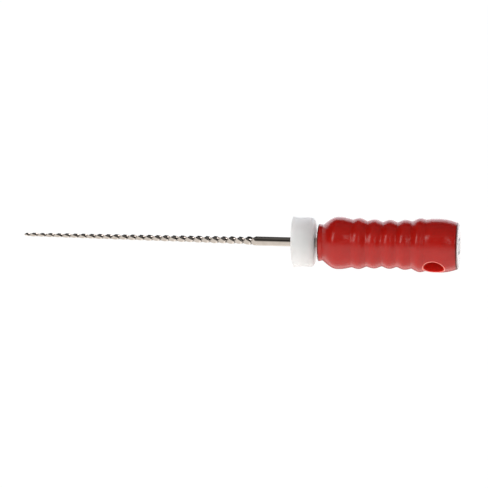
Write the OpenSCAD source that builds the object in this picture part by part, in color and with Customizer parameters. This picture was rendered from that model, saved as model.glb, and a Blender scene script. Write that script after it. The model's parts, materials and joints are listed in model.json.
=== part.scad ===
// Endodontic hand file: a twisted steel wire in a moulded finger grip, with a sliding stop.
// The tool lies along X. The origin is the centre of the flat end face of the butt,
// the blade's tip points to -X, and +Z is up. Millimetres.

/* [Wire] */
// Length of wire in front of the grip, from the tip to the neck's face
wire_len = 21; // [18:0.5:31]
// Length of the twisted cutting part
blade_len = 16.9; // [16:0.05:17]
// Diameter of the cutting part, projected to the tip
tip_d = 0.27; // [0.15:0.01:0.3]
// Growth in diameter for each millimetre along the cutting part
taper = 0.02; // [0.01:0.005:0.02]
// Diameter of the round shank
shank_d = 0.68; // [0.66:0.01:0.8]
// Length of one full turn of the twist
twist_pitch = 2.356; // [1.6:0.004:3.2]
// Angle of the twist at the tip
twist_phase = 67; // [0:1:359]
// Short diagonal of the blade's section, as a share of the long one
section_ratio = 0.92; // [0.8:0.01:1]
// Swell of the blade's flats, as a share of their distance from the axis
flat_swell = 0.08; // [0:0.01:0.2]
// Length of the flats' run-out into the round shank
runout_len = 1.2; // [0.5:0.05:1.5]

/* [Grip] */
// Length of the moulded grip
grip_len = 9.82; // [9.7:0.01:9.9]
// Diameter of the neck's front rim
neck_d = 2.62; // [2.5:0.01:2.7]
// Diameter of the neck's waist
waist_d = 2.55; // [2.4:0.01:2.6]
// Diameter of the hole for a safety thread
lanyard_d = 1.4; // [1:0.05:1.5]
// Distance from the neck's face to the middle of the thread hole
lanyard_at = 8.2; // [8.1:0.01:8.35]
// Angle of the thread hole round the axis, from straight down
lanyard_turn = -39; // [-90:1:90]

/* [End disc] */
// Diameter of the identification disc in the butt
disc_d = 2.9; // [2:0.01:3]
// Thickness of the disc
disc_t = 0.5; // [0.3:0.01:0.5]
// Height of the disc's face above the grip's rim
disc_proud = 0.05; // [0.02:0.01:0.1]
// Radius of the disc's rounded edge
disc_edge_r = 0.08; // [0.02:0.01:0.1]

/* [Stop] */
// Length of the silicone stop
stop_len = 1.56; // [1:0.01:2]
// Diameter of the stop's body
stop_d = 3.48; // [3:0.02:3.6]
// Diameter of the flared lip on the side of the tip
stop_lip_d = 3.6; // [3.5:0.02:3.8]
// Length of the flared lip
stop_lip_len = 0.4; // [0.2:0.01:0.5]
// Length of the stop's rounded edge on the side of the grip
stop_bevel = 0.36; // [0.1:0.01:0.4]
// Gap between the stop and the neck's face, as stored
stop_gap = 0.22; // [0.2:0.01:1]
// Radial clearance between the stop's hole and the shank
stop_clearance = 0.02; // [0.015:0.005:0.05]

/* [Hidden] */
$fn = 96;

steel = [0.72, 0.70, 0.66];
red = [0.72, 0.10, 0.08];
white = [0.92, 0.91, 0.89];
silicone = [0.88, 0.85, 0.85];

// Where the pieces start along X, from the butt's face
neck_x = -(grip_len + disc_proud);
tip_x = neck_x - wire_len;
stop_x = neck_x - stop_gap - stop_len;

// Wire
shank_r = shank_d / 2;
ring_step = 22.5;
ring_pitch = twist_pitch * ring_step / 360;
edge_blunt = 7;
tip_cone_len = 0.18;
tip_flat_share = 0.4;
tip_rings = [0, 0.09];
shoulder = 0.03;
runout_r = shank_r - shoulder;
runout_start = blade_len - runout_len;
shank_start = blade_len - 0.1;
shank_in_grip = 2;
tang_len = 4.2;
tang_w = 0.84;
tang_t = 0.36;

// Stop
lip_steps = 5;
bevel_steepness = 1.2;

// Grip outline: where the radius has a crest or a valley, as [distance from the neck, radius]
bulb_start = 0.33;
bulb_full = 1.35;
bulb_r = 1.833;
rib_nodes = [
    [1.5, 1.833], [2.37, 1.685],
    [2.83, 1.794], [3.41, 1.608],
    [3.92, 1.724], [4.48, 1.562],
    [5.01, 1.721], [5.53, 1.577],
    [6.09, 1.756], [6.56, 1.664],
    [7.16, 1.893], [7.54, 1.807],
    [8.1, 1.875], [8.5, 1.88]
];
rib_steps = 8;
rib_sharpness = 1.25;
barrel_at = 8.5;
barrel_r = 1.88;
barrel_drop = 0.155;
barrel_power = 2;
barrel_steps = 10;
rim_r = 0.12;
rim_steps = 4;

// Angles of the points round one section of the blade: two at each blunt edge, one on each flat
section_angles = [for (q = [0:3]) each [90 * q - edge_blunt, 90 * q + edge_blunt, 90 * q + 45]];
section_points = len(section_angles);

// Half of the long diagonal at a distance s from the tip
function blade_r(s) = (tip_d + taper * s) / 2;

// Share of the full section that is left in the tip's cone
function tip_share(s) = min(1, tip_flat_share + (1 - tip_flat_share) * s / tip_cone_len);

// Growth of the section where the flats run out into the shank
function runout_share(s) = 1 + 0.9 * pow(max(0, (s - runout_start) / runout_len), 2);

// Radius of the section, a rhombus with swollen flats, at an angle from its long diagonal
function section_r(a, long_r) =
    long_r * (1 + flat_swell * pow(sin(2 * a), 2)) / (abs(cos(a)) + abs(sin(a)) / section_ratio);

// One ring of points round the blade, turned by the twist at s
function blade_ring(s) = [
    for (a = section_angles)
    let (
        long_r = blade_r(s) * tip_share(s) * runout_share(s),
        r = min(runout_r, section_r(a, long_r)),
        turn = a + twist_phase + 360 * s / twist_pitch
    )
    [r * cos(turn), r * sin(turn), s]
];

// Distances of the rings from the tip
ring_places = concat(
    tip_rings,
    [for (s = [tip_cone_len:ring_pitch:blade_len - ring_pitch / 4]) s],
    [blade_len]
);
ring_count = len(ring_places);

// A point at a distance t from one end of a half wave between two radii
function half_wave(r0, r1, t) = r0 + (r1 - r0) * (1 - cos(180 * t)) / 2;

// The same with a sharp valley and a round crest, as between the grip's ribs
function rib_wave(r0, r1, t) =
    r0 < r1
        ? r0 + (r1 - r0) * pow(sin(90 * t), rib_sharpness)
        : r1 + (r0 - r1) * pow(sin(90 * (1 - t)), rib_sharpness);

// Outline of the grip from its neck to its butt, as [radius, distance from the neck]
neck_outline = [
    [neck_d / 2 - 0.04, 0],
    [neck_d / 2, 0.04],
    [neck_d / 2, 0.1],
    [waist_d / 2, 0.2],
    for (i = [0:rib_steps])
    let (t = i / rib_steps)
    [waist_d / 2 + (bulb_r - waist_d / 2) * sin(90 * t), bulb_start + (bulb_full - bulb_start) * t]
];
rib_outline = [
    for (k = [0:len(rib_nodes) - 2], i = [0:rib_steps - 1])
    let (p = rib_nodes[k], q = rib_nodes[k + 1], t = i / rib_steps)
    [rib_wave(p[1], q[1], t), p[0] + (q[0] - p[0]) * t]
];
barrel_end = grip_len - rim_r;
barrel_outline = [
    for (i = [0:barrel_steps])
    let (s = barrel_at + (barrel_end - barrel_at) * i / barrel_steps)
    [barrel_r - barrel_drop * pow(s - barrel_at, barrel_power), s]
];
rim_top = barrel_r - barrel_drop * pow(barrel_end - barrel_at, barrel_power) - rim_r;
rim_outline = [
    for (i = [1:rim_steps])
    let (a = 90 * i / rim_steps)
    [rim_top + rim_r * cos(a), barrel_end + rim_r * sin(a)]
];
grip_outline = concat(
    [[0, 0]],
    neck_outline,
    rib_outline,
    barrel_outline,
    rim_outline,
    [[0, grip_len]]
);

// Lays a shape that was built along Z on the tool's axis, starting at x
module on_axis(x) {
    translate([x, 0, 0])
        rotate([0, 90, 0])
            children();
}

// The twisted cutting part: rings of points from the tip to the run-out
module blade() {
    points = [for (s = ring_places) each blade_ring(s)];
    first_cap = [for (i = [0:section_points - 1]) i];
    last_cap = [for (i = [section_points - 1:-1:0]) (ring_count - 1) * section_points + i];
    sides = [
        for (k = [0:ring_count - 2], i = [0:section_points - 1])
        let (
            j = (i + 1) % section_points,
            a = k * section_points + i,
            b = k * section_points + j,
            c = (k + 1) * section_points + j,
            d = (k + 1) * section_points + i
        )
        each [[a, d, c], [a, c, b]]
    ];
    polyhedron(points, concat([first_cap, last_cap], sides));
}

// The round shank and the flattened tang that keeps the wire from turning in the grip
module shank_and_tang() {
    tang_from = wire_len + shank_in_grip;
    translate([0, 0, shank_start])
        cylinder(h = tang_from + tang_w / 2 - shank_start, r = shank_r);
    translate([0, 0, tang_from])
        rotate([90, 0, 0])
            linear_extrude(tang_t, center = true) {
                translate([-tang_w / 2, 0])
                    square([tang_w, tang_len - tang_w / 2]);
                translate([0, tang_len - tang_w / 2])
                    circle(d = tang_w);
            }
}

module file_wire() {
    color(steel)
        on_axis(tip_x) {
            blade();
            shank_and_tang();
        }
}

module grip() {
    color(red)
        difference() {
            on_axis(neck_x)
                rotate_extrude()
                    polygon(grip_outline);
            on_axis(tip_x)
                shank_and_tang();
            on_axis(neck_x + grip_len + disc_proud - disc_t)
                cylinder(h = disc_t + 1, d = disc_d);
            lanyard_hole();
        }
}

// The thread hole, which crosses the axis from one side of the grip to the other
module lanyard_hole() {
    translate([neck_x + lanyard_at, 0, 0])
        rotate([lanyard_turn, 0, 0])
            cylinder(h = 6, d = lanyard_d, center = true);
}

module end_disc() {
    color(white)
        on_axis(-disc_t)
            rotate_extrude() {
                square([disc_d / 2, disc_t - disc_edge_r]);
                square([disc_d / 2 - disc_edge_r, disc_t]);
                translate([disc_d / 2 - disc_edge_r, disc_t - disc_edge_r])
                    circle(r = disc_edge_r);
            }
}

// Outline of the stop from the lip's face to the face at the neck, as [radius, distance]
stop_r = stop_d / 2;
stop_lip_r = stop_lip_d / 2;
stop_bore_r = shank_r + stop_clearance;
stop_lip_edge = 0.05;
bevel_from = stop_len - stop_bevel;
stop_outline = concat(
    [[stop_bore_r, 0], [stop_lip_r - stop_lip_edge, 0]],
    [
        for (i = [0:lip_steps])
        let (t = i / lip_steps)
        [half_wave(stop_lip_r, stop_r, t), stop_lip_edge + (stop_lip_len - stop_lip_edge) * t]
    ],
    [
        for (i = [0:lip_steps])
        let (a = 90 * i / lip_steps)
        [stop_r - bevel_steepness * stop_bevel * (1 - cos(a)), bevel_from + stop_bevel * sin(a)]
    ],
    [[stop_bore_r, stop_len]]
);

module silicone_stop() {
    color(silicone)
        on_axis(stop_x)
            rotate_extrude()
                polygon(stop_outline);
}

file_wire();
grip();
end_disc();
silicone_stop();
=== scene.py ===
"""Endodontic hand file: the looks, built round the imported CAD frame. All lengths are in metres."""

import json
import math

import bmesh
import bpy
import numpy as np
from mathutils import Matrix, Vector


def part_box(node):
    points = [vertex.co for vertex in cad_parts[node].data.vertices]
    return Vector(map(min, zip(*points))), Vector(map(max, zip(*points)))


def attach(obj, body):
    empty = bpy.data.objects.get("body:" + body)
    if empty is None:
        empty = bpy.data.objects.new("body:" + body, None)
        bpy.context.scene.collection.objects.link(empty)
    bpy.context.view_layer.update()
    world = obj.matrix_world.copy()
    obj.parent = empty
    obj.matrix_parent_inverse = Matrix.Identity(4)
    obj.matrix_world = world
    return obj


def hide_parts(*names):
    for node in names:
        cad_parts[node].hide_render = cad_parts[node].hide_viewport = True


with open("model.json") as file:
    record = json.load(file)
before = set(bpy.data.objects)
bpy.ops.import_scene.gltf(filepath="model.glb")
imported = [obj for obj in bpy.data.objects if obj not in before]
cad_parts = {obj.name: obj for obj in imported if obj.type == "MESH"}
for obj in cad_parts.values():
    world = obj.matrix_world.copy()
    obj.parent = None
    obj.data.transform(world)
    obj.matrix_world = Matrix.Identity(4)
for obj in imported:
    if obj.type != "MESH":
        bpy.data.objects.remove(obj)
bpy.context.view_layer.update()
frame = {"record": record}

MM = 0.001

# ---------------------------------------------------------------- places, from the CAD frame

wire_low, wire_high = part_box("file_wire")
grip_low, grip_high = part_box("grip")
disc_low, disc_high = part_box("end_disc")
stop_low, stop_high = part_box("silicone_stop")
thread_hole = next(m for m in frame["record"]["mounts"] if m["name"] == "lanyard_hole")

TIP_X = wire_low.x
NECK_X = grip_low.x
BUTT_X = disc_high.x
GRIP_LEN = grip_high.x - grip_low.x
WIRE_LEN = NECK_X - TIP_X
FLOOR_Z = grip_low.z

# ---------------------------------------------------------------- camera

CAMERA_AZIMUTH = 8.15
CAMERA_ELEVATION = 11.1
CAMERA_DISTANCE = 0.286
CAMERA_LENS = 300
AIM = Vector((NECK_X - 5.30 * MM, 0, -0.262 * MM))


def direction(azimuth, elevation):
    """Unit vector from the object towards a place: azimuth 0 is in front (-Y), 90 is at +X."""
    a, e = math.radians(azimuth), math.radians(elevation)
    return Vector((math.sin(a) * math.cos(e), -math.cos(a) * math.cos(e), math.sin(e)))


def make_camera():
    data = bpy.data.cameras.new("camera")
    data.lens = CAMERA_LENS
    data.clip_start = 0.01
    data.clip_end = 5
    camera = bpy.data.objects.new("camera", data)
    back = direction(CAMERA_AZIMUTH, CAMERA_ELEVATION)
    camera.location = AIM + back * CAMERA_DISTANCE
    camera.rotation_euler = (-back).to_track_quat("-Z", "Y").to_euler()
    bpy.context.scene.collection.objects.link(camera)
    bpy.context.scene.camera = camera


# ---------------------------------------------------------------- mesh helpers

MERGE_DISTANCE = 0.0002 * MM


def piece(name, points, faces, body, slot, material, *nodes, sharp=35):
    """A mesh piece that rides on a CAD body and stands for its CAD nodes."""
    mesh = bpy.data.meshes.new(name)
    mesh.from_pydata([tuple(p) for p in points], [], [tuple(f) for f in faces])
    bm = bmesh.new()
    bm.from_mesh(mesh)
    bmesh.ops.remove_doubles(bm, verts=bm.verts, dist=MERGE_DISTANCE)
    bmesh.ops.recalc_face_normals(bm, faces=bm.faces)
    bm.to_mesh(mesh)
    bm.free()
    mesh.shade_smooth()
    mesh.set_sharp_from_angle(angle=math.radians(sharp))
    mesh.materials.append(material)
    made = bpy.data.objects.new(name, mesh)
    bpy.context.scene.collection.objects.link(made)
    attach(made, body)
    if nodes:
        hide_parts(*nodes)
    return made


def grid_faces(rows, columns, skip=lambda i, j: False):
    """Quads between rows of points. Each row joins its last point to its first."""
    return [
        (i * columns + j, i * columns + (j + 1) % columns,
         (i + 1) * columns + (j + 1) % columns, (i + 1) * columns + j)
        for i in range(rows - 1)
        for j in range(columns)
        if not skip(i, j)
    ]


def loft(rings):
    """Points and faces of a closed tube through rings of equal length, with a cap at each end."""
    count = len(rings[0])
    points = np.concatenate(rings)
    faces = grid_faces(len(rings), count)
    for row, ring in ((0, rings[0]), (len(rings) - 1, rings[-1])):
        middle = len(points)
        points = np.vstack([points, ring.mean(axis=0)])
        faces += [(row * count + j, row * count + (j + 1) % count, middle) for j in range(count)]
    return points, faces


def lathe(outline, segments):
    """Points and faces of an outline of (x, radius) turned round X. A radius of 0 closes an end."""
    turn = np.arange(segments) * 2 * math.pi / segments
    points = [(x, r * math.sin(a), r * math.cos(a)) for x, r in outline for a in turn]
    return np.array(points), grid_faces(len(outline), segments)


def arc(x, r, radius, start, end, steps):
    """Points (x, radius) along an arc. The angle is 0 outwards from the axis and 90 towards +X."""
    angles = np.radians(np.linspace(start, end, steps + 1))
    return [(x + radius * math.sin(a), r + radius * math.cos(a)) for a in angles]


def half_wave(r0, r1, t):
    """Radius at t from 0 to 1 along a half wave between two radii."""
    return r0 + (r1 - r0) * (1 - math.cos(math.pi * t)) / 2


def rib_wave(r0, r1, t):
    """Radius between two nodes of the ribs, at t from 0 to 1: a sharp valley and a round crest."""
    valley, crest, u = (r0, r1, t) if r0 < r1 else (r1, r0, 1 - t)
    return valley + (crest - valley) * math.sin(math.pi / 2 * max(0, u)) ** RIB_SHARP


# ---------------------------------------------------------------- materials

# The darkest and the lightest tint of each material
RED_TINTS = (0.45, 0.0085, 0.0045), (0.51, 0.0105, 0.0055)
WHITE_TINTS = (0.73, 0.665, 0.675), (0.77, 0.705, 0.715)
SILICONE_TINTS = (0.96, 0.91, 0.92), (0.98, 0.93, 0.94)
STEEL_TINTS = (0.53, 0.482, 0.435), (0.60, 0.55, 0.505)
INK_TINTS = (0.10, 0.10, 0.11), (0.15, 0.15, 0.16)

# Painted light and shade in the red plastic: a brighter red inside the thread hole for light coming through
# the bore, a pale painted highlight on its lip, and a dark painted shade ring where the grip ends
BORE_PAINTED_LIGHT_RED = (0.66, 0.022, 0.014)
BORE_PAINTED_LIGHT_REACH = 0.02 * MM
LIP_PAINTED_HIGHLIGHT_RED = (0.95, 0.2, 0.16)
LIP_HIGHLIGHT_FROM_HOLE = 0.065 * MM
LIP_HIGHLIGHT_REACH = 0.045 * MM
RIM_PAINTED_SHADE_RED = (0.16, 0.005, 0.004)
RIM_SHADE_REACH = 0.06 * MM
NECK_SHADE_RING_X = NECK_X + 0.03 * MM
BUTT_SHADE_RING_X = grip_high.x - 0.05 * MM


def new_material(name):
    material = bpy.data.materials.new(name)
    material.use_nodes = True
    nodes, links = material.node_tree.nodes, material.node_tree.links
    shader = next(n for n in nodes if n.type == "BSDF_PRINCIPLED")
    place = nodes.new("ShaderNodeTexCoord")
    return material, nodes, links, shader, place.outputs["Object"]


def noise(nodes, links, place, size, detail=4, stretch=(1, 1, 1)):
    """Noise with features of about one size, in metres, stretched along the axes. Returns its value."""
    scale = nodes.new("ShaderNodeMapping")
    scale.inputs["Scale"].default_value = [1 / (size * s) for s in stretch]
    links.new(place, scale.inputs["Vector"])
    texture = nodes.new("ShaderNodeTexNoise")
    texture.inputs["Scale"].default_value = 1
    texture.inputs["Detail"].default_value = detail
    links.new(scale.outputs["Vector"], texture.inputs["Vector"])
    return texture.outputs["Fac"]


def between(nodes, links, value, low, high):
    """A noise value spread over a range."""
    spread = nodes.new("ShaderNodeMapRange")
    spread.inputs["From Min"].default_value = 0.3
    spread.inputs["From Max"].default_value = 0.7
    spread.inputs["To Min"].default_value = low
    spread.inputs["To Max"].default_value = high
    links.new(value, spread.inputs["Value"])
    return spread.outputs["Result"]


def tint(nodes, links, value, dark, light):
    """A colour that follows a noise value from dark to light."""
    mix = nodes.new("ShaderNodeMix")
    mix.data_type = "RGBA"
    mix.inputs["A"].default_value = (*dark, 1)
    mix.inputs["B"].default_value = (*light, 1)
    links.new(between(nodes, links, value, 0, 1), mix.inputs["Factor"])
    return mix.outputs["Result"]


def bump(nodes, links, shader, height, depth, below=None):
    """A bump of a real depth, in metres, on top of another."""
    node = nodes.new("ShaderNodeBump")
    node.inputs["Strength"].default_value = 1
    node.inputs["Distance"].default_value = depth
    links.new(height, node.inputs["Height"])
    if below:
        links.new(below, node.inputs["Normal"])
    links.new(node.outputs["Normal"], shader.inputs["Normal"])
    return node.outputs["Normal"]


def hole_distance(nodes, links, place):
    """Distance from the axis of the thread hole."""
    value = place
    for operation, other in (("SUBTRACT", (HOLE_X, 0, 0)), ("CROSS_PRODUCT", HOLE_AXIS)):
        node = nodes.new("ShaderNodeVectorMath")
        node.operation = operation
        node.inputs[1].default_value = other
        links.new(value, node.inputs[0])
        value = node.outputs["Vector"]
    length = nodes.new("ShaderNodeVectorMath")
    length.operation = "LENGTH"
    links.new(value, length.inputs[0])
    return length.outputs["Value"]


def ring_colour(nodes, links, distance, middle, reach, base, colour):
    """The base colour, or another colour where the distance is within reach of a middle value."""
    ring = nodes.new("ShaderNodeMath")
    ring.operation = "COMPARE"
    ring.inputs[1].default_value = middle
    ring.inputs[2].default_value = reach
    links.new(distance, ring.inputs[0])
    mix = nodes.new("ShaderNodeMix")
    mix.data_type = "RGBA"
    links.new(ring.outputs["Value"], mix.inputs["Factor"])
    links.new(base, mix.inputs["A"])
    mix.inputs["B"].default_value = (*colour, 1)
    return mix.outputs["Result"]


def moulded_red():
    """Red plastic, with painted light and shade: a pale painted highlight on the lip of the thread hole, a
    brighter red painted inside it as light coming through the bore, and a dark painted shade ring at the
    grip's two ends.
    """
    material, nodes, links, shader, place = new_material("moulded_red")
    cloud = noise(nodes, links, place, 1.2 * MM)
    colour = tint(nodes, links, cloud, *RED_TINTS)
    distance = hole_distance(nodes, links, place)
    # Painted light: a brighter red on the bore's wall stands in for light coming through the thread hole
    colour = ring_colour(nodes, links, distance, HOLE_R, BORE_PAINTED_LIGHT_REACH, colour, BORE_PAINTED_LIGHT_RED)
    # Painted highlight: a pale red ring on the hole's rounded lip
    lip = HOLE_R + LIP_HIGHLIGHT_FROM_HOLE
    colour = ring_colour(nodes, links, distance, lip, LIP_HIGHLIGHT_REACH, colour, LIP_PAINTED_HIGHLIGHT_RED)
    split = nodes.new("ShaderNodeSeparateXYZ")
    links.new(place, split.inputs["Vector"])
    # Painted shade: a dark red ring beside the neck's rim and another beside the butt's rim
    for rim in (NECK_SHADE_RING_X, BUTT_SHADE_RING_X):
        colour = ring_colour(nodes, links, split.outputs["X"], rim, RIM_SHADE_REACH, colour, RIM_PAINTED_SHADE_RED)
    links.new(colour, shader.inputs["Base Color"])
    grain = noise(nodes, links, place, 0.09 * MM)
    links.new(between(nodes, links, grain, 0.18, 0.23), shader.inputs["Roughness"])
    shader.inputs["IOR"].default_value = 1.5
    shader.inputs["Subsurface Weight"].default_value = 0.5
    shader.inputs["Subsurface Radius"].default_value = (1, 0.12, 0.08)
    shader.inputs["Subsurface Scale"].default_value = 0.6 * MM
    wave = bump(nodes, links, shader, noise(nodes, links, place, 0.5 * MM, 2), 0.004 * MM)
    bump(nodes, links, shader, grain, 0.0006 * MM, wave)
    return material


def moulded_white():
    material, nodes, links, shader, place = new_material("moulded_white")
    cloud = noise(nodes, links, place, 0.8 * MM)
    links.new(tint(nodes, links, cloud, *WHITE_TINTS), shader.inputs["Base Color"])
    grain = noise(nodes, links, place, 0.07 * MM)
    links.new(between(nodes, links, grain, 0.22, 0.32), shader.inputs["Roughness"])
    bump(nodes, links, shader, grain, 0.0006 * MM)
    return material


def white_silicone():
    material, nodes, links, shader, place = new_material("white_silicone")
    cloud = noise(nodes, links, place, 0.7 * MM)
    links.new(tint(nodes, links, cloud, *SILICONE_TINTS), shader.inputs["Base Color"])
    grain = noise(nodes, links, place, 0.08 * MM)
    links.new(between(nodes, links, grain, 0.38, 0.5), shader.inputs["Roughness"])
    shader.inputs["IOR"].default_value = 1.41
    shader.inputs["Subsurface Weight"].default_value = 1
    shader.inputs["Subsurface Radius"].default_value = (1, 0.9, 0.9)
    shader.inputs["Subsurface Scale"].default_value = 6.5 * MM
    shader.inputs["Specular IOR Level"].default_value = 0.3
    wave = bump(nodes, links, shader, noise(nodes, links, place, 0.45 * MM, 2), 0.006 * MM)
    bump(nodes, links, shader, grain, 0.0012 * MM, wave)
    return material


def ground_steel():
    material, nodes, links, shader, place = new_material("ground_steel")
    shader.inputs["Metallic"].default_value = 1
    cloud = noise(nodes, links, place, 0.4 * MM)
    links.new(tint(nodes, links, cloud, *STEEL_TINTS), shader.inputs["Base Color"])
    lines = noise(nodes, links, place, 0.012 * MM, 3, (40, 1, 1))
    links.new(between(nodes, links, lines, 0.04, 0.07), shader.inputs["Roughness"])
    bump(nodes, links, shader, lines, 0.0004 * MM)
    return material


def grey_ink():
    material, nodes, links, shader, place = new_material("grey_ink")
    grain = noise(nodes, links, place, 0.05 * MM)
    links.new(tint(nodes, links, grain, *INK_TINTS), shader.inputs["Base Color"])
    links.new(between(nodes, links, grain, 0.35, 0.5), shader.inputs["Roughness"])
    return material


# ---------------------------------------------------------------- steel wire

TIP_D = 0.27 * MM
TAPER = 0.02
BLADE_LEN = 16.9 * MM
PITCH = 2.356 * MM
PHASE = 67
SECTION_RATIO = 0.92
FLAT_SWELL = 0.08
RUNOUT_LEN = 1.2 * MM
RUNOUT_GROWTH = 0.9
EDGE_ANGLE = 4
EDGE_CAP = 1.015
RINGS_PER_TURN = 72
SHANK_R = 0.34 * MM
TIP_CONE = 0.18 * MM
TIP_RINGS = 6
TIP_BLUNT = 0.4
TANG_FROM = WIRE_LEN + 2 * MM
TANG_END = wire_high.x - TIP_X
TANG_W = 0.42 * MM
TANG_T = 0.18 * MM
TANG_NECK = 0.4 * MM
TANG_FULLNESS = 0.25


def blade_angles():
    """Angles round a section of the blade: close together at the four edges, wider on the flats."""
    quarter = [-EDGE_ANGLE, -1.5, 1.5, EDGE_ANGLE, 9, 16, 25, 35, 45, 55, 65, 74, 81]
    return np.array([90 * q + a for q in range(4) for a in quarter])


def blade_ring(s, angles):
    """Radii of the section at a distance s from the tip."""
    a = np.radians(angles)
    grown = 1 + RUNOUT_GROWTH * max(0, (s - BLADE_LEN + RUNOUT_LEN) / RUNOUT_LEN) ** 2
    cone = min(1, TIP_BLUNT + (1 - TIP_BLUNT) * s / TIP_CONE)
    long_r = (TIP_D + TAPER * s) / 2 * cone * grown
    blunt = math.radians(EDGE_ANGLE)
    edge = 1 / (math.cos(blunt) + math.sin(blunt) / SECTION_RATIO)
    flat = (1 + FLAT_SWELL * np.sin(2 * a) ** 2) / (abs(np.cos(a)) + abs(np.sin(a)) / SECTION_RATIO)
    return np.minimum(long_r * np.minimum(flat, edge * EDGE_CAP), SHANK_R)


def wire_ring(s, y, z):
    """Points of a section of the wire at a distance s from the tip."""
    return np.stack([np.full(len(y), TIP_X + s), y, z], 1)


def make_wire():
    angles = blade_angles()
    places = [TIP_CONE * k / TIP_RINGS for k in range(TIP_RINGS)]
    places += list(np.arange(TIP_CONE, BLADE_LEN, PITCH / RINGS_PER_TURN)) + [BLADE_LEN]
    rings = []
    for s in places:
        turn = np.radians(angles + PHASE) + 2 * math.pi * s / PITCH
        r = blade_ring(s, angles)
        rings.append(wire_ring(s, r * np.sin(turn), -r * np.cos(turn)))
    for s in np.linspace(BLADE_LEN, TANG_FROM, 12)[1:]:
        rings.append(wire_ring(s, SHANK_R * np.sin(turn), -SHANK_R * np.cos(turn)))
    for t in np.linspace(0, 1, 9)[1:]:
        rings.append(tang_ring(TANG_FROM + TANG_NECK * t, turn, t))
    flat_from = TANG_FROM + TANG_NECK
    for t in np.linspace(0, 1, 9)[1:]:
        s = flat_from + (TANG_END - flat_from) * t
        end = max(0, (s - TANG_END + TANG_W) / TANG_W)
        rings.append(tang_ring(s, turn, 1, math.sqrt(max(0.04, 1 - end * end))))
    points, faces = loft(rings)
    return piece("wire_blade_and_shank", points, faces, "file", "steel", steel, "file_wire", sharp=28)


def tang_ring(s, turn, flatness, width=1):
    """A section of the tang: from round to flat, TANG_W wide and TANG_T thick on each side."""
    across = SHANK_R + (TANG_W * width - SHANK_R) * flatness
    thick = SHANK_R + (TANG_T - SHANK_R) * flatness
    full = 1 + TANG_FULLNESS * flatness * np.sin(2 * turn) ** 2
    return wire_ring(s, thick * np.clip(np.sin(turn) * full, -1, 1), -across * np.cos(turn))


# ---------------------------------------------------------------- grip

HOLE_R = thread_hole["dims"]["r_mm"] * MM
HOLE_X = thread_hole["pos_m"][0]
HOLE_AXIS = Vector(thread_hole["axis"]).normalized()
HOLE_LIP = 0.09 * MM
HOLE_WINDOW = 0.98 * MM
GRIP_SEGMENTS = 192
WINDOW_SEGMENTS = 18
PATCH_ROWS = 13
PATCH_EASE = 1.3
LIP_ROWS = 9
BORE_ROWS = 9
RECESS_R = disc_high.z

# The grip's outline. Distances are from the neck, and all of it is in millimetres.
TANG_POCKET_R = 0.43
TANG_POCKET_END = 6.25
SHANK_POCKET_END = 2.0
NECK_R = 1.31
NECK_EDGE = 0.03
NECK_RIM_END = 0.08
WAIST_R = 1.275
WAIST_AT = 0.22
BULB_FROM = 0.33
BULB_FULL = 1.35
BULB_R = 1.833
BARREL_DROP = 0.155
BUTT_EDGE = 0.12
RECESS_EDGE = 0.02
STATIONS_TO_HOLE = 250
RIB_SHARP = 1.25
RIBS = [
    (1.5, 1.833), (2.37, 1.685),
    (2.83, 1.794), (3.41, 1.608),
    (3.92, 1.724), (4.48, 1.562),
    (5.01, 1.721), (5.53, 1.577),
    (6.09, 1.756), (6.56, 1.664),
    (7.16, 1.893), (7.54, 1.807),
    (8.1, 1.875), (8.5, 1.88),
]


def grip_radius(x):
    """Outer radius of the grip at a distance x from the neck, behind the waist. Both in millimetres."""
    if x < BULB_FULL:
        t = max(0, x - BULB_FROM) / (BULB_FULL - BULB_FROM)
        return WAIST_R + (BULB_R - WAIST_R) * math.sin(math.pi / 2 * t)
    if x < RIBS[0][0]:
        return BULB_R
    for (x0, r0), (x1, r1) in zip(RIBS, RIBS[1:]):
        if x < x1:
            return rib_wave(r0, r1, (x - x0) / (x1 - x0))
    return RIBS[-1][1] - BARREL_DROP * (x - RIBS[-1][0]) ** 2


def neck_outline():
    """The outline from the bottom of the wire's pocket, over the neck's rim, to the waist."""
    shank_r = SHANK_R / MM
    pocket = [(TANG_POCKET_END, 0), (TANG_POCKET_END, TANG_POCKET_R), (SHANK_POCKET_END, TANG_POCKET_R)]
    pocket += [(SHANK_POCKET_END, shank_r), (0, shank_r)]
    rim = arc(NECK_EDGE, NECK_R - NECK_EDGE, NECK_EDGE, -90, 0, 4) + [(NECK_RIM_END, NECK_R)]
    steps = np.linspace(0.1, WAIST_AT, 5)
    waist = [(x, half_wave(NECK_R, WAIST_R, (x - NECK_RIM_END) / (WAIST_AT - NECK_RIM_END))) for x in steps]
    return pocket + rim + waist


def grip_outline():
    """The whole outline, to the middle of the disc's seat, and the row where the hole's window starts."""
    end = GRIP_LEN / MM
    seat = end - (grip_high.x - disc_low.x) / MM
    disc_r = RECESS_R / MM
    hole_from, hole_to = ((HOLE_X - NECK_X + s * HOLE_WINDOW) / MM for s in (-1, 1))
    stations = np.concatenate([
        np.linspace(BULB_FROM, hole_from, STATIONS_TO_HOLE)[:-1],
        np.linspace(hole_from, hole_to, WINDOW_SEGMENTS * 2 + 1),
        np.linspace(hole_to, end - BUTT_EDGE, 14)[1:],
    ])
    neck = neck_outline()
    outside = [(x, grip_radius(x)) for x in stations]
    corner = arc(outside[-1][0], outside[-1][1] - BUTT_EDGE, BUTT_EDGE, 0, 90, 6)[1:]
    recess = [(end, disc_r + RECESS_EDGE), (end - RECESS_EDGE, disc_r), (seat, disc_r), (seat, 0)]
    line = neck + outside + corner + recess
    first = len(neck) + STATIONS_TO_HOLE - 1
    return [(NECK_X + x * MM, r * MM) for x, r in line], first


def hole_frame():
    """Directions across and along the thread hole, both square to X."""
    along = np.array(HOLE_AXIS)
    return np.cross(along, (1, 0, 0)), along


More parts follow.
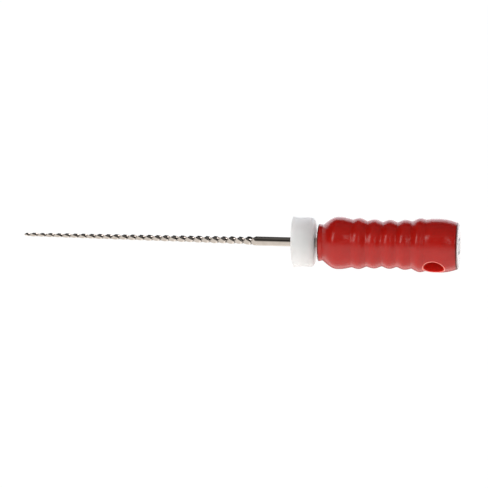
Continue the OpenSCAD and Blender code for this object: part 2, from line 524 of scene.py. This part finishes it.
def make_grip():
    outline, first = grip_outline()
    across, along = hole_frame()
    turn = np.arange(GRIP_SEGMENTS) * 2 * math.pi / GRIP_SEGMENTS
    points = np.array([
        (x, *(r * (math.sin(a) * across + math.cos(a) * along))[1:]) for x, r in outline for a in turn
    ])

    def in_window(i, j):
        near = min(j, GRIP_SEGMENTS - 1 - j) < WINDOW_SEGMENTS
        far = abs(j + 0.5 - GRIP_SEGMENTS / 2) < WINDOW_SEGMENTS
        return first <= i < first + 2 * WINDOW_SEGMENTS and (near or far)

    faces = grid_faces(len(outline), GRIP_SEGMENTS, skip=in_window)
    for side in (1, -1):
        patch, patch_faces = hole_patch(side)
        faces += [tuple(k + len(points) for k in f) for f in patch_faces]
        points = np.vstack([points, patch])
    return piece("grip_moulding", points, faces, "file", "grip_red", red, "grip", sharp=40)


def hole_patch(side):
    """Rings from the window's edge to the hole, over its rounded lip and down to the middle of the bore."""
    across, along = hole_frame()
    n = WINDOW_SEGMENTS
    steps = np.linspace(-1, 1, 2 * n + 1)
    spread = math.radians(360 / GRIP_SEGMENTS * n)
    edge = [(t, -1) for t in steps[:-1]] + [(1, t) for t in steps[:-1]]
    edge += [(-t, 1) for t in steps[:-1]] + [(-1, -t) for t in steps[:-1]]

    def surface(x, w):
        r = grip_radius((x + HOLE_X - NECK_X) / MM) * MM
        return math.sqrt(r * r - w * w)

    rows = []
    lip_r = HOLE_R + HOLE_LIP
    for u in np.linspace(0, 1, PATCH_ROWS):
        t = 1 - (1 - u) ** PATCH_EASE
        row = []
        for a, b in edge:
            x0 = a * HOLE_WINDOW
            r0 = grip_radius((x0 + HOLE_X - NECK_X) / MM) * MM
            w0 = r0 * math.sin(b * spread)
            psi = math.atan2(b, a)
            x = (1 - t) * x0 + t * lip_r * math.cos(psi)
            w = (1 - t) * w0 + t * lip_r * math.sin(psi)
            row.append((x, w, surface(x, w)))
        rows.append(row)
    turns = [math.atan2(b, a) for a, b in edge]
    for beta in np.radians(np.linspace(0, 90, LIP_ROWS)[1:]):
        d = lip_r - HOLE_LIP * math.sin(beta)
        drop = HOLE_LIP * (1 - math.cos(beta))
        spots = [(d * math.cos(p), d * math.sin(p)) for p in turns]
        rows.append([(x, w, surface(x, w) - drop) for x, w in spots])
    mouth = rows[-1]
    for t in np.linspace(1, 0, BORE_ROWS)[1:]:
        rows.append([(x, w, h * t) for x, w, h in mouth])
    points = [
        (HOLE_X + x, *(w * across + side * h * along)[1:]) for row in rows for x, w, h in row
    ]
    return np.array(points), grid_faces(len(rows), len(edge))


# ---------------------------------------------------------------- end disc and its mark

DISC_EDGE = 0.08 * MM
DISC_CHAMFER = 0.02 * MM
MARK_SIDE = 1.1 * MM
MARK_LINE = 0.16 * MM
MARK_THICK = 0.006 * MM
MARK_SUNK = 0.01 * MM
MARK_TURN = 51


def make_disc():
    r = disc_high.z
    front = disc_low.x
    outline = [(front, 0), (front, r - DISC_CHAMFER), (front + DISC_CHAMFER, r)]
    outline += arc(BUTT_X - DISC_EDGE, r - DISC_EDGE, DISC_EDGE, 0, 90, 6)
    outline += [(BUTT_X, r * t) for t in (0.75, 0.5, 0.25, 0)]
    points, faces = lathe(outline, 128)
    return piece("end_disc_moulding", points, faces, "file", "disc_white", white, "end_disc")


def make_mark():
    """A plain square outline printed on the disc, the general sign for this kind of file."""
    low, high = BUTT_X - MARK_SUNK, BUTT_X + MARK_THICK
    turn = [math.radians(MARK_TURN + 90 * k) for k in range(4)]
    outer = MARK_SIDE / math.sqrt(2)
    inner = outer - MARK_LINE * math.sqrt(2)
    rings = [(low, inner), (high, inner), (high, outer), (low, outer)]
    points = [(x, d * math.sin(a), d * math.cos(a)) for x, d in rings for a in turn]
    faces = grid_faces(4, 4) + [(12 + k, 12 + (k + 1) % 4, (k + 1) % 4, k) for k in range(4)]
    return piece("end_disc_mark", points, faces, "file", "disc_white", ink)


# ---------------------------------------------------------------- silicone stop

STOP_R = 1.74 * MM
STOP_BORE = SHANK_R + 0.02 * MM
STOP_HOLE_EDGE = 0.04 * MM
STOP_LIP_EDGE = 0.05 * MM
STOP_LIP_LEN = 0.4 * MM
STOP_BEVEL = 0.36 * MM
STOP_BEVEL_RISE = 0.432 * MM
STOP_LEAN = 0.025


def make_stop():
    """The stop. Its lip leans a little, while its back stays square to the neck."""
    face, back, lip = stop_low.x, stop_high.x, stop_high.z
    outline = [(face + STOP_HOLE_EDGE, STOP_BORE), (face, STOP_BORE + STOP_HOLE_EDGE)]
    outline += [(face, lip * t) for t in (0.4, 0.6, 0.8)]
    flare_from = face + STOP_LIP_EDGE
    outline += arc(flare_from, lip - STOP_LIP_EDGE, STOP_LIP_EDGE, -90, 0, 5)
    for t in np.linspace(0, 1, 12)[1:]:
        outline.append((flare_from + (STOP_LIP_LEN - STOP_LIP_EDGE) * t, half_wave(lip, STOP_R, t)))
    for a in np.radians(np.linspace(0, 90, 13)):
        x = back - STOP_BEVEL * (1 - math.sin(a))
        outline.append((x, STOP_R - STOP_BEVEL_RISE * (1 - math.cos(a))))
    outline += [(back, STOP_R * t) for t in (0.7, 0.5, 0.3)]
    outline += [(back, STOP_BORE + STOP_HOLE_EDGE), (back - STOP_HOLE_EDGE, STOP_BORE)]
    points, faces = lathe(outline + outline[:1], 160)
    askew = np.clip(np.hypot(points[:, 1], points[:, 2]) / STOP_BORE - 1, 0, 1)
    askew *= (back - points[:, 0]) / (back - face)
    points[:, 0] -= askew * points[:, 2] * STOP_LEAN
    return piece("stop_silicone", points, faces, "stop", "silicone_white", silicone, "silicone_stop")


# ---------------------------------------------------------------- stage and light

STAGE_RADIUS = 0.8
LIGHT_DISTANCE = 0.3
STRIP_TONE = (1, 0.94, 0.93)

# The white tent. Turns go round the X axis, in degrees: 0 is straight down, 90 level in front,
# 180 straight up and -90 level behind. X runs from -1 on the tip's side to 1 on the butt's side.
WHITE = 1.08
FRONT_TOP = 93
FRONT_SOFT = 22
BACK_TURN = -137, -133
BACK_GLOW = 1.7
GLOW_TURN = -40, 0
SKIRT = 0.3
SKIRT_BACK = -81, -72
SKIRT_FRONT = -55, -30
RIGHT_DIP = 26
DIP_X = 0.5, 0.8
ASIDE = 0.12
ASIDE_X = 0.7, 0.9
DIM = 0.03

# A faint glimmer overhead, between turns in radians
GLIMMER = 0.15
GLIMMER_FRONT = 2.1, 2.7
GLIMMER_BACK = -3.0, -2.6
GLIMMER_X = -0.5, -0.2

BACK_TONE = (0.88, 0.93, 1.0)
FLOOR_TONE = (1.0, 0.97, 0.932)
TONE_TURN = -120, -60


def stage_material(name):
    material, _, _, shader, _ = new_material(name)
    shader.inputs["Base Color"].default_value = (0.05, 0.05, 0.05, 1)
    shader.inputs["Roughness"].default_value = 1
    shader.inputs["Specular IOR Level"].default_value = 0
    shader.inputs["Emission Color"].default_value = (1, 1, 1, 1)
    shader.inputs["Emission Strength"].default_value = 1
    return material


def stage_piece(name, points, faces, material):
    """A part of the studio that is only looked at: the world and the lamps light the object."""
    mesh = bpy.data.meshes.new(name)
    mesh.from_pydata([tuple(p) for p in points], [], faces)
    mesh.materials.append(material)
    made = bpy.data.objects.new(name, mesh)
    bpy.context.scene.collection.objects.link(made)
    made.visible_diffuse = False
    made.visible_glossy = False
    made.visible_transmission = False
    made.visible_shadow = False


def make_stage():
    pale = stage_material("pale_stage")
    r = STAGE_RADIUS
    corners = [(-r, -r), (r, -r), (r, r), (-r, r)]
    stage_piece("floor", [(x, y, FLOOR_Z) for x, y in corners], [(0, 1, 2, 3)], pale)
    wall = [(x, y, z) for z in (FLOOR_Z, FLOOR_Z + r) for x, y in corners]
    stage_piece("backdrop", wall, grid_faces(2, 4), pale)


def make_world():
    """A white tent, open in front of the object from just over the horizon to high at the back."""
    world = bpy.data.worlds.new("studio")
    world.use_nodes = True
    nodes, links = world.node_tree.nodes, world.node_tree.links
    place = nodes.new("ShaderNodeTexCoord")
    split = nodes.new("ShaderNodeSeparateXYZ")
    links.new(place.outputs["Generated"], split.inputs["Vector"])

    def step(value, start, end, low=0, high=1):
        """low up to start, changing smoothly to high at end."""
        node = nodes.new("ShaderNodeMapRange")
        node.interpolation_type = "SMOOTHSTEP"
        node.inputs["From Min"].default_value = start
        node.inputs["From Max"].default_value = end
        node.inputs["To Min"].default_value = low
        node.inputs["To Max"].default_value = high
        links.new(value, node.inputs["Value"])
        return node.outputs["Result"]

    def combine(operation, first, second):
        node = nodes.new("ShaderNodeMath")
        node.operation = operation
        links.new(first, node.inputs[0])
        links.new(second, node.inputs[1])
        return node.outputs["Value"]

    def turned(value):
        node = nodes.new("ShaderNodeMath")
        node.operation = "MULTIPLY"
        node.inputs[1].default_value = -1
        links.new(value, node.inputs[0])
        return node.outputs["Value"]

    def round_x(turns, low=0, high=1):
        """low up to the first of two turns, changing smoothly to high at the second."""
        return step(turn, *np.radians(turns), low, high)

    x, y, z = split.outputs["X"], turned(split.outputs["Y"]), turned(split.outputs["Z"])
    turn = combine("ARCTAN2", y, z)
    dip = step(x, *DIP_X, 0, math.radians(RIGHT_DIP))
    front, soft = math.radians(FRONT_TOP), math.radians(FRONT_SOFT)
    below = step(combine("ADD", turn, dip), front - soft, front + soft, WHITE, 0)
    behind = round_x(BACK_TURN)
    glow = round_x(GLOW_TURN, BACK_GLOW, 1)
    skirt = combine("MAXIMUM", round_x(SKIRT_BACK, 1, SKIRT), round_x(SKIRT_FRONT, SKIRT, 1))
    aside = step(x, *ASIDE_X, 1, ASIDE)
    white = combine("MULTIPLY", combine("MULTIPLY", below, behind), combine("MULTIPLY", glow, skirt))
    white = combine("MULTIPLY", white, aside)
    overhead = combine("MAXIMUM", step(turn, *GLIMMER_FRONT), step(turn, *GLIMMER_BACK, 1, 0))
    facing = combine("MULTIPLY", overhead, step(x, *GLIMMER_X))
    level = combine("MAXIMUM", white, step(facing, 0, 1, DIM, GLIMMER))
    tone = nodes.new("ShaderNodeMix")
    tone.data_type = "RGBA"
    tone.inputs["A"].default_value = (*BACK_TONE, 1)
    tone.inputs["B"].default_value = (*FLOOR_TONE, 1)
    links.new(round_x(TONE_TURN), tone.inputs["Factor"])
    background = next(n for n in nodes if n.type == "BACKGROUND")
    links.new(level, background.inputs["Strength"])
    links.new(tone.outputs["Result"], background.inputs["Color"])
    bpy.context.scene.world = world


def softbox(name, azimuth, elevation, width, height, radiance, color=(1, 1, 1)):
    """A rectangular light that faces the grip, seen from there at width by height degrees."""
    data = bpy.data.lights.new(name, "AREA")
    data.shape = "RECTANGLE"
    data.size = 2 * LIGHT_DISTANCE * math.tan(math.radians(width / 2))
    data.size_y = 2 * LIGHT_DISTANCE * math.tan(math.radians(height / 2))
    data.energy = radiance * math.pi * data.size * data.size_y
    data.color = color
    light = bpy.data.objects.new(name, data)
    away = direction(azimuth, elevation)
    light.location = Vector((NECK_X / 2, 0, 0)) + away * LIGHT_DISTANCE
    light.rotation_euler = away.to_track_quat("Z", "Y").to_euler()
    light.visible_camera = False
    bpy.context.scene.collection.objects.link(light)
    return light


def make_lights():
    softbox("left_strip", -38, 32, 16, 34, 3, STRIP_TONE)
    softbox("right_strip", 26, 32, 4, 26, 2.8, STRIP_TONE)
    softbox("front_fill", 8, 28, 60, 60, 1.1).visible_glossy = False
    softbox("end_fill", 130, 8, 60, 60, 0.9).visible_glossy = False


# ---------------------------------------------------------------- build

red = moulded_red()
white = moulded_white()
silicone = white_silicone()
steel = ground_steel()
ink = grey_ink()

make_camera()
make_world()
make_stage()
make_lights()
make_wire()
make_grip()
make_disc()
make_mark()
make_stop()

bpy.context.scene.view_settings.view_transform = "Standard"
